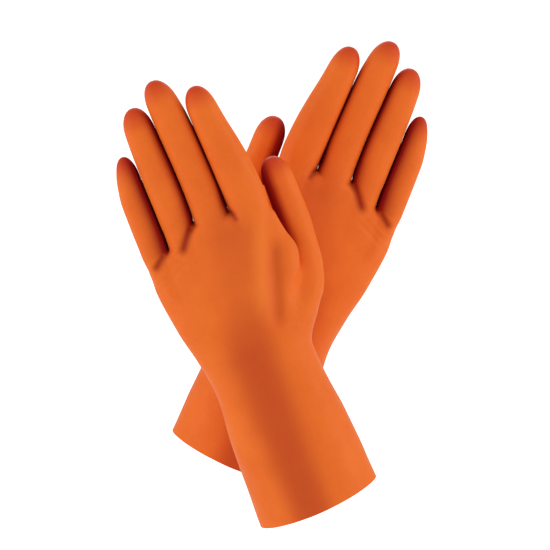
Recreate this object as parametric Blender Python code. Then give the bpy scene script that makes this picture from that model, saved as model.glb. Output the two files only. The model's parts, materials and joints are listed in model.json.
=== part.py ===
"""A pair of flock-lined rubber household gloves, crossed at the wrists with the fingers up.

Each glove is one moulded skin. It is divided here where it bends in use: a cuff, a hand, and
the stalls of four fingers and a thumb, with a thin flock lining inside the cuff and the hand.
A glove is modelled upright as a left glove: X runs towards the thumb, Y out of the palm and
Z towards the fingertips, with the wrist at the origin. The right glove is its mirror image.
"""

import math
from dataclasses import dataclass

import bmesh
import bpy
from mathutils import Matrix, Vector

MM = 0.001

# Layers of the wall, outside to inside.
RUBBER = 0.8 * MM
CLEARANCE = 0.3 * MM
FLOCK = 0.4 * MM
LINING_GAP = 0.5 * MM
LINING_OUTSIDE = RUBBER + LINING_GAP
LINING_INSIDE = LINING_OUTSIDE + FLOCK

# How the pair lies: each glove leans across the other, one behind it and a little higher.
LEAN = math.radians(20.2)
WRIST_OFFSET = 10.1 * MM
DEPTH_APART = 80.0 * MM
HEIGHT_APART = 10.5 * MM

# Facets of the ovals, and how square the wide ones are (2 is an ellipse).
BODY_SIDES = 24
DIGIT_SIDES = 12
BODY_FULLNESS = 2.3
DIGIT_FULLNESS = 2.1

# How far each skin bends, in degrees.
WRIST_BEND = 45.0
KNUCKLE_BEND = 60.0
MIDDLE_BEND = 75.0
TIP_SHARE = 2.0 / 3.0
THUMB_CLOSE = 35.0
THUMB_OPEN = 15.0
THUMB_TIP_CLOSE = 45.0
THUMB_TIP_OPEN = 10.0

# How far a thumb's bending is turned across the palm, from straight out of it.
THUMB_SWING = math.radians(25.0)

WRIST_HEIGHT = -18.0 * MM
DOME_LENGTH = 11.0 * MM
DOME_FULLNESS = 2.2
DOME_RINGS = 3
CUTTER_OVERRUN = 8.0 * MM

# A finger's stub starts this far inside the palm, and this much narrower.
STUB_DEPTH = 18.0 * MM
STUB_TAPER = 3.0 * MM

X_AXIS = Vector((1, 0, 0))
PALM_NORMAL = Vector((0, 1, 0))
FINGER_WAY = Vector((0, 0, 1))


@dataclass
class Section:
    """An oval across a glove: its centre and half sizes."""

    centre: Vector
    half_width: float
    half_depth: float


def section(x, y, z, half_width, half_depth):
    """A section given in millimetres."""
    return Section(Vector((x, y, z)) * MM, half_width * MM, half_depth * MM)


@dataclass
class Digit:
    """A stall along a straight line, with hinges at these distances from its root."""

    name: str
    root: Vector
    tip: Vector
    root_width: float
    tip_width: float
    depth_ratio: float
    hinges: tuple
    close: tuple
    open: tuple
    swing: float = 0.0

    def axis(self):
        return (self.tip - self.root).normalized()

    def length(self):
        return (self.tip - self.root).length

    def palmar(self):
        """The way the stall bends: out of the palm, and for a thumb partly across it."""
        towards = Matrix.Rotation(self.swing, 3, "Z") @ PALM_NORMAL
        axis = self.axis()
        return (towards - axis * towards.dot(axis)).normalized()

    def point(self, distance):
        return self.root + self.axis() * distance

    def section_at(self, distance):
        share = distance / self.length()
        width = self.root_width + (self.tip_width - self.root_width) * share
        return Section(self.point(distance), width, width * self.depth_ratio)


def finger(name, root, tip, root_width, tip_width, hinges):
    """A finger stall given in millimetres; its hinges are measured from the crotch at its root."""
    return Digit(
        name=name,
        root=Vector(root) * MM,
        tip=Vector(tip) * MM,
        root_width=root_width * MM,
        tip_width=tip_width * MM,
        depth_ratio=0.95,
        hinges=tuple(h * MM for h in hinges),
        close=(KNUCKLE_BEND, MIDDLE_BEND, MIDDLE_BEND * TIP_SHARE),
        open=(0.0, 0.0, 0.0),
    )


FINGERS = (
    finger("index", (24.0, 0, 89.0), (18.8, 0, 176.8), 12.2, 9.8, (13, 42, 65)),
    finger("middle", (0.0, 0, 89.0), (-2.0, 0, 189.4), 10.9, 10.5, (14, 45, 71)),
    finger("ring", (-21.9, 0, 89.0), (-23.8, 0, 176.8), 10.5, 10.0, (13, 41, 64)),
    finger("little", (-43.4, 2.0, 77.0), (-42.2, 4.5, 147.9), 9.6, 8.9, (12, 35, 54)),
)

LONGEST_FINGER = FINGERS[1]

THUMB = Digit(
    name="thumb",
    root=Vector((50.2, 14.0, 45.5)) * MM,
    tip=Vector((50.6, 19.0, 114.0)) * MM,
    root_width=10.6 * MM,
    tip_width=10.0 * MM,
    depth_ratio=0.97,
    hinges=(13.0 * MM, 39.0 * MM),
    close=(THUMB_CLOSE, THUMB_TIP_CLOSE),
    open=(THUMB_OPEN, THUMB_TIP_OPEN),
    swing=THUMB_SWING,
)

CUFF = (
    section(0.5, 0, -116.0, 41.7, 33.0),
    section(0.0, 0, -85.0, 40.6, 31.5),
    section(-0.8, 0, -58.0, 38.8, 29.5),
    section(-1.3, 0, -38.0, 36.6, 27.0),
    section(-2.0, 0, -18.0, 35.8, 25.0),
)

PALM = (
    section(-2.0, 0, -18.0, 35.8, 25.0),
    section(-3.2, 0, 2.0, 38.0, 23.5),
    section(-5.6, 0, 25.0, 41.9, 20.5),
    section(-6.3, 0, 46.0, 44.0, 18.0),
    section(-6.2, 0, 66.0, 45.3, 14.5),
    section(-6.2, 0, 80.0, 45.0, 11.0),
)

THUMB_ROOT = (
    section(20.0, 3.0, -6.0, 13.0, 13.0),
    section(31.5, 5.0, 11.0, 15.5, 14.0),
    section(41.6, 9.0, 28.0, 15.0, 13.0),
    section(49.6, 13.5, 45.5, 10.8, 11.0),
)


@dataclass
class Glove:
    """One glove of the pair: its side, which way its wrist bends, and where its parts hang."""

    name: str
    side: int
    wrist_bends_to: int
    frame: bpy.types.Object


# ---------------------------------------------------------------- ovals and lofts


def rounded(value, fullness):
    """A circle's coordinate, squared off to a fuller oval."""
    return math.copysign(abs(value) ** (2.0 / fullness), value)


def oval(cut, lateral, palmar, axis, sides, fullness, palm_slope=0.0, back_slope=0.0):
    """Points round a section; the slopes lean its palm and back halves along the axis."""
    points = []
    for i in range(sides):
        angle = math.tau * i / sides
        across = cut.half_width * rounded(math.cos(angle), fullness)
        height = cut.half_depth * rounded(math.sin(angle), fullness)
        along = palm_slope * max(height, 0.0) + back_slope * max(-height, 0.0)
        points.append(cut.centre + lateral * across + palmar * height + axis * along)
    return points


def inset(cut, wall, along=Vector((0, 0, 0))):
    """The same section, smaller all round by a wall, and moved along."""
    return Section(cut.centre + along, cut.half_width - wall, cut.half_depth - wall)


def half_bend(degrees):
    """The slope that leaves each side of a hinge half of the bend."""
    return math.tan(math.radians(degrees) / 2.0)


def body_ring(cut, palm_slope=0.0, back_slope=0.0):
    """A ring across a cuff or a palm."""
    slopes = (palm_slope, back_slope)
    return oval(cut, X_AXIS, PALM_NORMAL, FINGER_WAY, BODY_SIDES, BODY_FULLNESS, *slopes)


def digit_ring(digit, cut, palm_slope=0.0, back_slope=0.0):
    """A ring across a finger or a thumb."""
    axis = digit.axis()
    palmar = digit.palmar()
    lateral = palmar.cross(axis)
    slopes = (palm_slope, back_slope)
    return oval(cut, lateral, palmar, axis, DIGIT_SIDES, DIGIT_FULLNESS, *slopes)


def digit_end(digit, hinge, wall, way):
    """The ring where a stall ends at a hinge: way is -1 below the hinge and 1 above it."""
    distance = digit.hinges[hinge] + way * CLEARANCE / 2
    cut = inset(digit.section_at(distance), wall)
    palm_slope = way * half_bend(digit.close[hinge])
    back_slope = way * half_bend(digit.open[hinge])
    return digit_ring(digit, cut, palm_slope, back_slope)


def dome_rings(digit, wall):
    """Rings that close a stall's end to a blunt round, and the point at its top."""
    length = DOME_LENGTH
    start = digit.length() - length
    rings = []
    for i in range(DOME_RINGS):
        share = math.sin(math.radians(90.0) * i / DOME_RINGS)
        cut = digit.section_at(start)
        shrink = (1.0 - share**DOME_FULLNESS) ** (1.0 / DOME_FULLNESS)
        width = (cut.half_width - wall) * shrink
        depth = (cut.half_depth - wall) * shrink
        centre = digit.point(start + (length - wall) * share)
        rings.append(digit_ring(digit, Section(centre, width, depth)))
    return rings, digit.point(digit.length() - wall)


# ---------------------------------------------------------------- meshes


def add_ring(bm, points, side):
    return [bm.verts.new((p.x * side, p.y, p.z)) for p in points]


def bridge(bm, first, second):
    """Faces between two rings of the same length."""
    count = len(first)
    for i in range(count):
        j = (i + 1) % count
        bm.faces.new((first[i], first[j], second[j], second[i]))


def fan(bm, ring, point, side):
    """Faces from a ring to a point."""
    top = bm.verts.new((point.x * side, point.y, point.z))
    for i in range(len(ring)):
        bm.faces.new((ring[i], ring[(i + 1) % len(ring)], top))


def cap(bm, ring):
    """Closes a ring with a back half and a palm half, each of them flat."""
    half = len(ring) // 2
    bm.faces.new(ring[: half + 1])
    bm.faces.new(ring[half:] + ring[:1])


def finish_mesh(bm, name):
    """A smooth-shaded mesh with sharp cut edges and its faces pointing out."""
    bmesh.ops.recalc_face_normals(bm, faces=bm.faces)
    mesh = bpy.data.meshes.new(name)
    bm.to_mesh(mesh)
    bm.free()
    mesh.shade_smooth()
    mesh.set_sharp_from_angle(angle=math.radians(50.0))
    return mesh


def tube_mesh(name, side, outside, inside):
    """An open tube: rings along its outside and, the same way, along its inside."""
    bm = bmesh.new()
    outer = [add_ring(bm, ring, side) for ring in outside]
    inner = [add_ring(bm, ring, side) for ring in inside]
    for rings in (outer, inner):
        for first, second in zip(rings, rings[1:]):
            bridge(bm, first, second)
    bridge(bm, outer[0], inner[0])
    bridge(bm, outer[-1], inner[-1])
    return finish_mesh(bm, name)


def stall_end_mesh(name, side, digit):
    """A hollow stall end: a tube from the last hinge, closed by a dome inside and out."""
    bm = bmesh.new()
    roots = []
    for wall in (0.0, RUBBER):
        dome, top = dome_rings(digit, wall)
        points = [digit_end(digit, len(digit.hinges) - 1, wall, 1)] + dome
        rings = [add_ring(bm, ring, side) for ring in points]
        for first, second in zip(rings, rings[1:]):
            bridge(bm, first, second)
        fan(bm, rings[-1], top, side)
        roots.append(rings[0])
    bridge(bm, roots[0], roots[1])
    return finish_mesh(bm, name)


def solid_mesh(name, side, points):
    """A closed solid through rings of points, for joining and cutting."""
    bm = bmesh.new()
    rings = [add_ring(bm, ring, side) for ring in points]
    for first, second in zip(rings, rings[1:]):
        bridge(bm, first, second)
    cap(bm, rings[0])
    cap(bm, rings[-1])
    return finish_mesh(bm, name)


# ---------------------------------------------------------------- objects


def material(name, colour, roughness):
    made = bpy.data.materials.new(name)
    made.use_nodes = True
    shader = made.node_tree.nodes["Principled BSDF"]
    shader.inputs["Base Color"].default_value = (*colour, 1.0)
    shader.inputs["Roughness"].default_value = roughness
    shader.inputs["Metallic"].default_value = 0.0
    made.diffuse_color = (*colour, 1.0)
    return made


def hinge_empty(name, parent, position, axis, along, side):
    """An empty on a hinge: its X is the hinge's axis and its Z runs along the stall.

    A mirrored hinge's axis is reversed as well, so that it still bends the same way.
    """
    spot = Vector((position.x * side, position.y, position.z))
    way = Vector((along.x * side, along.y, along.z))
    turn = Vector((axis.x, axis.y * side, axis.z * side))
    rotation = Matrix((turn, way.cross(turn), way)).transposed().to_4x4()
    empty = bpy.data.objects.new(name, None)
    bpy.context.collection.objects.link(empty)
    empty.empty_display_size = 10 * MM
    empty.parent = parent
    empty["glove_matrix"] = [list(row) for row in Matrix.Translation(spot) @ rotation]
    empty.matrix_basis = glove_matrix(parent).inverted() @ glove_matrix(empty)
    return empty


def glove_matrix(empty):
    """An empty's place in its glove's own frame."""
    rows = empty.get("glove_matrix")
    return Matrix([list(row) for row in rows]) if rows else Matrix.Identity(4)


def place(name, mesh, parent, paint):
    """An object whose mesh, made in the glove's frame, hangs on an empty."""
    mesh.transform(glove_matrix(parent).inverted())
    mesh.materials.append(paint)
    placed = bpy.data.objects.new(name, mesh)
    bpy.context.collection.objects.link(placed)
    placed.parent = parent
    return placed


def combine(target, tool, operation):
    """Joins or cuts with a hidden tool object."""
    tool.hide_render = True
    tool.display_type = "WIRE"
    modifier = target.modifiers.new(f"{operation.lower()}_{tool.name}", "BOOLEAN")
    modifier.operation = operation
    modifier.solver = "MANIFOLD"
    modifier.object = tool


# ---------------------------------------------------------------- parts of a glove


def wrist_slopes(glove):
    """The slopes of the wrist's palm and back halves; only the side it bends to is cut away."""
    slope = half_bend(WRIST_BEND)
    return (slope, 0.0) if glove.wrist_bends_to > 0 else (0.0, slope)


def cuff_rings(glove, wall):
    """Rings of a cuff, from its straight-cut end up to the wrist."""
    palm_slope, back_slope = wrist_slopes(glove)
    rings = [body_ring(inset(cut, wall)) for cut in CUFF[:-1]]
    top = inset(CUFF[-1], wall, FINGER_WAY * (-CLEARANCE / 2))
    return rings + [body_ring(top, -palm_slope, -back_slope)]


def moved(ring, way):
    return [point + way for point in ring]


def palm_rings(glove, wall, overrun):
    """Rings of a palm's solid, from the wrist to the crotches of the fingers."""
    palm_slope, back_slope = wrist_slopes(glove)
    start = inset(PALM[0], wall, FINGER_WAY * (CLEARANCE / 2))
    rings = [body_ring(start, palm_slope, back_slope)]
    if overrun:
        rings.insert(0, moved(rings[0], FINGER_WAY * -overrun))
    rings += [body_ring(inset(cut, wall)) for cut in PALM[1:-1]]
    return rings + [body_ring(inset(PALM[-1], wall, FINGER_WAY * -wall))]


def stub_rings(digit, wall, overrun):
    """Rings of a stall's stub on the hand, from inside the palm up to its first hinge."""
    if digit is THUMB:
        rings = [digit_ring(digit, inset(cut, wall)) for cut in THUMB_ROOT]
        rings[0] = moved(rings[0], digit.axis() * wall)
    else:
        start = inset(digit.section_at(wall - STUB_DEPTH), wall + STUB_TAPER)
        rings = [digit_ring(digit, start)]
    rings.append(digit_end(digit, 0, wall, -1))
    if overrun:
        rings.append(moved(rings[-1], digit.axis() * overrun))
    return rings


def hollow_hand(glove, name, parent, paint, outside, inside):
    """A hand's skin between two walls: the palm and the stubs joined, then hollowed."""
    digits = FINGERS + (THUMB,)
    palm = solid_mesh(name, glove.side, palm_rings(glove, outside, 0.0))
    hand = place(name, palm, parent, paint)
    for digit in digits:
        stub = f"{name}_{digit.name}_stub"
        solid = solid_mesh(stub, glove.side, stub_rings(digit, outside, 0.0))
        combine(hand, place(stub, solid, parent, paint), "UNION")
    hollow = f"{name}_palm_hollow"
    solid = solid_mesh(hollow, glove.side, palm_rings(glove, inside, CUTTER_OVERRUN))
    combine(hand, place(hollow, solid, parent, paint), "DIFFERENCE")
    for digit in digits:
        hollow = f"{name}_{digit.name}_hollow"
        solid = solid_mesh(hollow, glove.side, stub_rings(digit, inside, CUTTER_OVERRUN))
        combine(hand, place(hollow, solid, parent, paint), "DIFFERENCE")
    return hand


def build_digit(glove, digit, hand_frame, paint):
    """The moving stalls of a digit, each on a hinge carried by the one before."""
    parent = hand_frame
    axis = digit.axis()
    turn = axis.cross(digit.palmar())
    names = ("base", "middle", "tip") if len(digit.hinges) == 3 else ("base", "tip")
    for number, part in enumerate(names):
        name = f"{glove.name}_{digit.name}_{part}"
        spot = digit.point(digit.hinges[number])
        parent = hinge_empty(f"{name}_hinge", parent, spot, turn, axis, glove.side)
        if part == "tip":
            mesh = stall_end_mesh(name, glove.side, digit)
        else:
            outside, inside = (
                (digit_end(digit, number, wall, 1), digit_end(digit, number + 1, wall, -1))
                for wall in (0.0, RUBBER)
            )
            mesh = tube_mesh(name, glove.side, outside, inside)
        place(name, mesh, parent, paint)


def build_glove(glove, paints):
    """A whole glove, hung on its frame."""
    name = f"{glove.name}_cuff"
    cuff = tube_mesh(name, glove.side, cuff_rings(glove, 0.0), cuff_rings(glove, RUBBER))
    place(name, cuff, glove.frame, paints["cuff"])
    name = f"{glove.name}_cuff_lining"
    walls = (cuff_rings(glove, LINING_OUTSIDE), cuff_rings(glove, LINING_INSIDE))
    place(name, tube_mesh(name, glove.side, *walls), glove.frame, paints["flock"])

    wrist = Vector((0, 0, WRIST_HEIGHT))
    turn = FINGER_WAY.cross(PALM_NORMAL * glove.wrist_bends_to)
    name = f"{glove.name}_wrist_hinge"
    frame = hinge_empty(name, glove.frame, wrist, turn, FINGER_WAY, glove.side)
    hollow_hand(glove, f"{glove.name}_hand", frame, paints["hand"], 0.0, RUBBER)
    hollow_hand(glove, f"{glove.name}_hand_lining", frame, paints["flock"], LINING_OUTSIDE, LINING_INSIDE)
    for digit in FINGERS + (THUMB,):
        build_digit(glove, digit, frame, paints["digit"])


def glove_frame(name, side, depth, height):
    """The empty that carries a whole glove, leaning away from its thumb side."""
    frame = bpy.data.objects.new(f"{name}_glove", None)
    bpy.context.collection.objects.link(frame)
    frame.location = (-side * WRIST_OFFSET, depth, height)
    frame.rotation_euler = (0.0, -side * LEAN, 0.0)
    return frame


def leaned_height(point):
    """A point's height over its glove's wrist once the glove leans."""
    return point.z * math.cos(LEAN) + point.x * math.sin(LEAN)


def height_to_centre():
    """The front glove's wrist height that puts the middle of the whole pair at zero."""
    lowest = min(leaned_height(point) for point in body_ring(CUFF[0]))
    dome, top = dome_rings(LONGEST_FINGER, 0.0)
    highest = max(leaned_height(point) for ring in dome + [[top]] for point in ring)
    return -(lowest + highest + HEIGHT_APART) / 2


def main():
    for item in list(bpy.data.objects):
        bpy.data.objects.remove(item)
    paints = {
        "cuff": material("rubber_cuff", (0.72, 0.20, 0.035), 0.5),
        "hand": material("rubber_hand", (0.76, 0.22, 0.035), 0.48),
        "digit": material("rubber_stalls", (0.74, 0.19, 0.035), 0.45),
        "flock": material("flock_lining", (0.86, 0.74, 0.52), 0.95),
    }
    front_height = height_to_centre()
    left = glove_frame("left", 1, -DEPTH_APART / 2, front_height)
    right = glove_frame("right", -1, DEPTH_APART / 2, front_height + HEIGHT_APART)
    build_glove(Glove("left", 1, -1, left), paints)
    build_glove(Glove("right", -1, 1, right), paints)


main()
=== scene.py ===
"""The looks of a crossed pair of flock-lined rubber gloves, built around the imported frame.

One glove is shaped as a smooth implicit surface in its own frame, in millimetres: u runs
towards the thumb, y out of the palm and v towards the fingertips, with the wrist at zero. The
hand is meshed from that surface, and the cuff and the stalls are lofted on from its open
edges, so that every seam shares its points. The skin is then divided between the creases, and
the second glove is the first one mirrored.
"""

import json
import math
from functools import partial

import bmesh
import bpy
import numpy as np
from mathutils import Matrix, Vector


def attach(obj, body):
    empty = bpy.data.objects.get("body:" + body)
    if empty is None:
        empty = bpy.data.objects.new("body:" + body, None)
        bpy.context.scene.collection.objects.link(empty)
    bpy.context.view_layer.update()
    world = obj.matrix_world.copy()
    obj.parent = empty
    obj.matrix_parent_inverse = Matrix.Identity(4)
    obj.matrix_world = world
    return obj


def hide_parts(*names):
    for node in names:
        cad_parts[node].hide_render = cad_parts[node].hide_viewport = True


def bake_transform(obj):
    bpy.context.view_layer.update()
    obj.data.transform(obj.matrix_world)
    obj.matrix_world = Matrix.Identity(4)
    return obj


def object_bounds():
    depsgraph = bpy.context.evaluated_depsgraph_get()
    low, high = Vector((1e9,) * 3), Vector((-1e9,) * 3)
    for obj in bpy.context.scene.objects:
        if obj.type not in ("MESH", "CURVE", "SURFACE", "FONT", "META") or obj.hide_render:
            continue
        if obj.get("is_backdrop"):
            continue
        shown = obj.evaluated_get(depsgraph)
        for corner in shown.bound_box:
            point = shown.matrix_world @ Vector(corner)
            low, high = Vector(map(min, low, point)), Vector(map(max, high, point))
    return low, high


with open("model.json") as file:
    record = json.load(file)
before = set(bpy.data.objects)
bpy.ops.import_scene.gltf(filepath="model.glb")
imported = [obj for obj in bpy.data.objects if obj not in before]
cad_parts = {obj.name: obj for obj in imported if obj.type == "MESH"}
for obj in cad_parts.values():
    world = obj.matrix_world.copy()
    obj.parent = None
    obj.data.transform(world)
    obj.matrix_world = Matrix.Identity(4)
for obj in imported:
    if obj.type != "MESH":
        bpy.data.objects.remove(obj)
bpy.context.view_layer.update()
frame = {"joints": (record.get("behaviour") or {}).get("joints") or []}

MM = 0.001
SIDES = {"left": 1, "right": -1}

# The wall, outside to inside, in millimetres.
RUBBER = 0.9
LINING_OUTSIDE = 1.15
LINING_INSIDE = 1.6
LINING_START = 4.0

# Where the pieces meet and bend, up the glove.
CUFF_END = -115.6
WRIST_SEAM = 0.0
WRIST_PIVOT = -18.0
ZONE_MARGIN = 0.8
ZONE_BELOW_TIP = 2.0
CROTCH_RISE = 3.5

# The hand's grid: its step, a finer one across the slots between the stalls, its sides across and
# out of the palm, its margin past the seams, and the number of parts that it is worked out in.
GRID = 1.0
FINE_GRID = 0.35
SLOTS = ((-35.0, -30.5), (-13.5, -8.5), (10.5, 16.0))
GRID_LOW = (-60.0, -32.0)
GRID_HIGH = (68.0, 34.0)
GRID_MARGIN = 5.0
GRID_PARTS = 12

# How near to a seam a point counts as on it.
SEAM_SNAP = 0.2

# The rings of the stalls and the cuff: their spacing, the number over a stall's dome, and the
# number in which they become evenly spaced.
RING_STEP = 1.25
CUFF_STEP = 1.8
DOME_RINGS = 11
EVENING_RINGS = 14

# How far out to look for the skin, how often to halve that, and how far a point may settle.
STALL_REACH = 15.0
CUFF_REACH = 60.0
HALVINGS = 15
FARTHEST_MOVE = 0.8

# Height, centre, half width, half depth of the cuff and the palm.
TRUNK = np.array([
    (-125.0, 0.5, 41.8, 33.0),
    (-115.0, 0.5, 41.5, 32.4),
    (-85.0, 0.1, 40.4, 31.0),
    (-58.0, -0.7, 38.9, 28.9),
    (-38.0, -1.2, 36.8, 26.4),
    (-18.0, -1.9, 35.5, 24.3),
    (2.0, -3.4, 37.6, 22.8),
    (25.0, -5.3, 41.3, 19.8),
    (43.0, -2.2, 47.3, 17.5),
    (54.0, -2.0, 48.7, 16.0),
    (67.0, -3.5, 46.9, 13.6),
    (80.0, -4.7, 46.0, 10.4),
    (100.0, -5.5, 45.3, 9.0),
])

# How full its oval is, from the cuff's end upwards.
TRUNK_FULLNESS = 2.25
CUFF_END_FULLNESS = 1.8
FULLNESS_FROM = -115.0
FULLNESS_LENGTH = 75.0

# How far the back of the hand leans towards the little finger, from the wrist upwards.
HAND_LEAN = 0.11
LEAN_FROM = 8.0
LEAN_LENGTH = 45.0

# How far the cuff's end rises towards the thumb, and where across and down it sets in.
CUFF_SLANT = 0.066
SLANT_CENTRE = -29.0
SLANT_FROM = -50.0
SLANT_LENGTH = 65.0

# How high the palm reaches between the fingers, across the glove; it slopes up towards the palm.
CROTCH_LINE = np.array([
    (-60.0, 68.0),
    (-48.0, 71.0),
    (-33.0, 78.3),
    (-24.0, 84.0),
    (-11.0, 90.0),
    (2.0, 89.5),
    (13.0, 89.6),
    (30.0, 88.0),
    (42.0, 84.0),
])
WEB_SLOPE = 0.13
WEB_REACH = 10.0

# Height, centre across, centre out of the palm, half width, half depth of each digit.
DIGITS = {
    "index": np.array([
        (55.0, 24.0, 0.0, 10.0, 11.0),
        (75.0, 25.6, -0.6, 12.2, 11.6),
        (92.0, 26.65, -1.8, 13.1, 12.2),
        (97.0, 26.55, -2.2, 13.4, 12.2),
        (106.0, 26.25, -2.8, 13.2, 12.0),
        (120.0, 25.3, -2.9, 12.7, 11.6),
        (135.0, 23.7, -2.9, 11.8, 11.0),
        (150.0, 21.8, -2.8, 10.65, 10.2),
        (163.0, 20.6, -2.6, 9.8, 9.4),
        (178.0, 20.0, -2.4, 9.1, 8.9),
    ]),
    "middle": np.array([
        (55.0, 1.0, 0.0, 9.0, 11.0),
        (75.0, 1.0, -0.3, 10.2, 11.2),
        (92.0, 1.1, -0.5, 11.8, 11.4),
        (97.0, 1.35, -0.4, 11.7, 11.4),
        (106.0, 1.35, -0.3, 11.65, 11.3),
        (120.0, 1.0, -0.3, 11.55, 11.1),
        (135.0, 0.3, -0.3, 11.5, 11.0),
        (150.0, -0.6, -0.3, 11.5, 10.8),
        (163.0, -1.5, -0.3, 11.1, 10.5),
        (175.0, -2.7, -0.3, 10.2, 9.9),
        (190.0, -4.0, -0.3, 9.4, 9.2),
    ]),
    "ring": np.array([
        (55.0, -19.0, 1.0, 8.5, 10.6),
        (75.0, -21.9, 1.2, 9.9, 10.6),
        (92.0, -21.6, 1.8, 10.5, 10.8),
        (97.0, -21.4, 1.9, 11.0, 10.8),
        (106.0, -21.5, 2.0, 11.05, 10.8),
        (120.0, -21.8, 2.0, 11.1, 10.7),
        (135.0, -22.25, 2.0, 10.85, 10.4),
        (150.0, -22.75, 2.0, 10.45, 10.0),
        (163.0, -23.0, 2.0, 9.8, 9.4),
        (177.0, -22.8, 2.0, 9.1, 8.9),
    ]),
    "little": np.array([
        (43.0, -37.0, 1.0, 7.0, 9.0),
        (62.0, -40.6, 2.2, 8.3, 9.2),
        (80.0, -41.95, 3.8, 9.4, 9.0),
        (85.0, -41.85, 4.4, 9.6, 9.0),
        (94.0, -42.0, 5.0, 9.7, 9.0),
        (105.0, -42.2, 5.4, 9.6, 9.0),
        (118.0, -42.4, 5.6, 9.25, 8.8),
        (129.0, -41.8, 5.7, 8.2, 8.1),
        (138.0, -40.8, 5.8, 7.3, 7.3),
        (148.0, -40.2, 5.9, 6.7, 6.7),
    ]),
    "thumb": np.array([
        (-30.0, 8.0, 1.0, 2.0, 3.0),
        (-14.0, 17.0, 2.5, 8.0, 9.0),
        (0.0, 26.2, 4.0, 13.6, 13.0),
        (10.0, 32.0, 5.2, 14.6, 13.4),
        (18.0, 37.2, 6.6, 15.0, 13.2),
        (25.0, 41.0, 8.6, 14.4, 12.8),
        (38.0, 46.6, 13.3, 11.8, 11.2),
        (50.0, 48.8, 16.5, 10.4, 10.0),
        (68.0, 49.5, 18.0, 10.7, 9.9),
        (85.0, 49.4, 19.0, 10.4, 9.7),
        (106.0, 49.0, 20.3, 10.0, 9.3),
        (125.0, 48.8, 21.5, 9.6, 9.0),
    ]),
}
FINGERS = ("index", "middle", "ring", "little")

# How high the tips and the crotches are.
TIPS = {"index": 176.0, "middle": 188.1, "ring": 175.2, "little": 146.4, "thumb": 110.6}
CROTCHES = {"index": 89.0, "middle": 89.0, "ring": 89.0, "little": 77.0, "thumb": 49.0}

# A stall's oval, its domed end, and how far it runs on past its seam while the hand is meshed.
DIGIT_FULLNESS = 2.1
DOME_LENGTH = 16.0
DOME_FULLNESS = 2.2
STUB = 1.0

# Radii of the soft joins: a finger's in the palm and at its seam, the thumb's at its root and
# beside the palm, and the web's.
FINGER_JOIN = 2.5
SEAM_JOIN = 0.7
THUMB_JOIN = 8.0
THUMB_BESIDE = 1.2
CROTCH_JOIN = 5.0

# Ridges and valleys (below zero): start and end, across and up the glove, then the height, the
# width and, where its other side is wider, that side's width.
BACK_FOLDS = [
    ((31.0, 86.0), (5.0, 18.0), 2.5, 6.0, 20.0),
    ((35.0, 64.0), (17.0, 8.0), -3.0, 5.0),
    ((-12.0, 92.0), (-25.0, 74.0), -1.2, 3.2),
    ((-34.0, 80.0), (-46.0, 68.0), -1.0, 2.8),
    ((14.0, 91.0), (19.0, 78.0), -0.8, 3.0),
]
BACK_FOLDS += [((-50.0, 54.0 + rise), (-24.0, 69.0 + rise), -0.6, 1.9) for rise in (0.0, 4.4, 8.8)]
PALM_LINES = [
    ((-48.0, 62.0), (18.0, 66.0), -0.9, 2.6),
    ((-30.0, 44.0), (34.0, 58.0), -0.9, 2.6),
    ((28.0, 58.0), (2.0, 4.0), -1.2, 3.5),
]
FOLDS_END = 105.0
CREASE_FADE = 0.3
CREASE_START = 0.35

# Height of the long and the short swells in the skin.
SWELL = 0.22
RIPPLE = 0.12

# The digit in front of each one on the back of the hand, and how far the painted shade that it casts
# reaches.
SHADED_BY = {
    "little": ("ring", 6.0),
    "ring": ("middle", 3.8),
    "middle": ("index", 2.0),
    "index": ("middle", 1.4),
}

# How dark the painted shade on the thumb's inner side is, and the painted shade trails that run down
# from the gaps.
THUMB_SHADE = 0.88
GAP_SHADE_TRAILS = [
    ((-11.0, 95.0), (-25.0, 75.0), 0.55, 2.8),
    ((-33.0, 82.0), (-46.0, 70.0), 0.5, 2.6),
    ((13.5, 95.0), (17.0, 84.0), 0.45, 1.8),
]

# The painted shade down the middle of the back, between the flanks that the side lights leave brighter:
# height, centre, half width and strength.
SHADE_BAND = np.array([
    (-120.0, -3.5, 14.0, 1.0),
    (0.0, -4.0, 17.0, 1.0),
    (40.0, 2.0, 14.0, 0.35),
    (78.0, 10.0, 17.0, 0.55),
    (104.0, 7.0, 10.0, 0.0),
])
# Painted shade along the back's valley.
SHADED_HOLLOW = ((36.0, 65.0), (18.0, 10.0), 0.6, 5.5)
# Painted highlight along the back's ridge.
HIGHLIGHT_RIDGE = ((32.0, 84.0), (8.0, 20.0), 1.0, 5.0)

# How far below its tip a stall reddens, and over what length: partly painted shade where the tips curve
# away, partly the thicker latex there.
WARM_BELOW_TIP = 17.0
WARM_LENGTH = 19.0

# Colours of the rubber and of the flock.
ORANGE = (0.90, 0.172, 0.020, 1)
CLOUDED_ORANGE = (0.85, 0.150, 0.017, 1)
SPECKLED_ORANGE = (0.92, 0.195, 0.020, 1)
# Painted highlight along the back's ridge.
HIGHLIGHT_ORANGE = (0.98, 0.235, 0.030, 1)
# Painted shade for the middle of the back and its valley.
SHADE_ORANGE = (0.63, 0.086, 0.013, 1)
# Fingertip red: partly painted shade, partly the thicker latex there.
TIP_RED_AND_SHADE = (0.62, 0.034, 0.012, 1)
# Painted shade in the narrow gaps between the stalls: maroon, then black where it is deepest.
GAP_SHADE_MAROON = (0.30, 0.012, 0.010, 1)
GAP_SHADE_BLACK = (0.030, 0.0008, 0.0006, 1)
FLOCK_CREAM = (0.80, 0.62, 0.38, 1)
FLOCK_THIN = (0.74, 0.42, 0.17, 1)
FLOCK_FIBRE = (0.92, 0.83, 0.66, 1)

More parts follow.
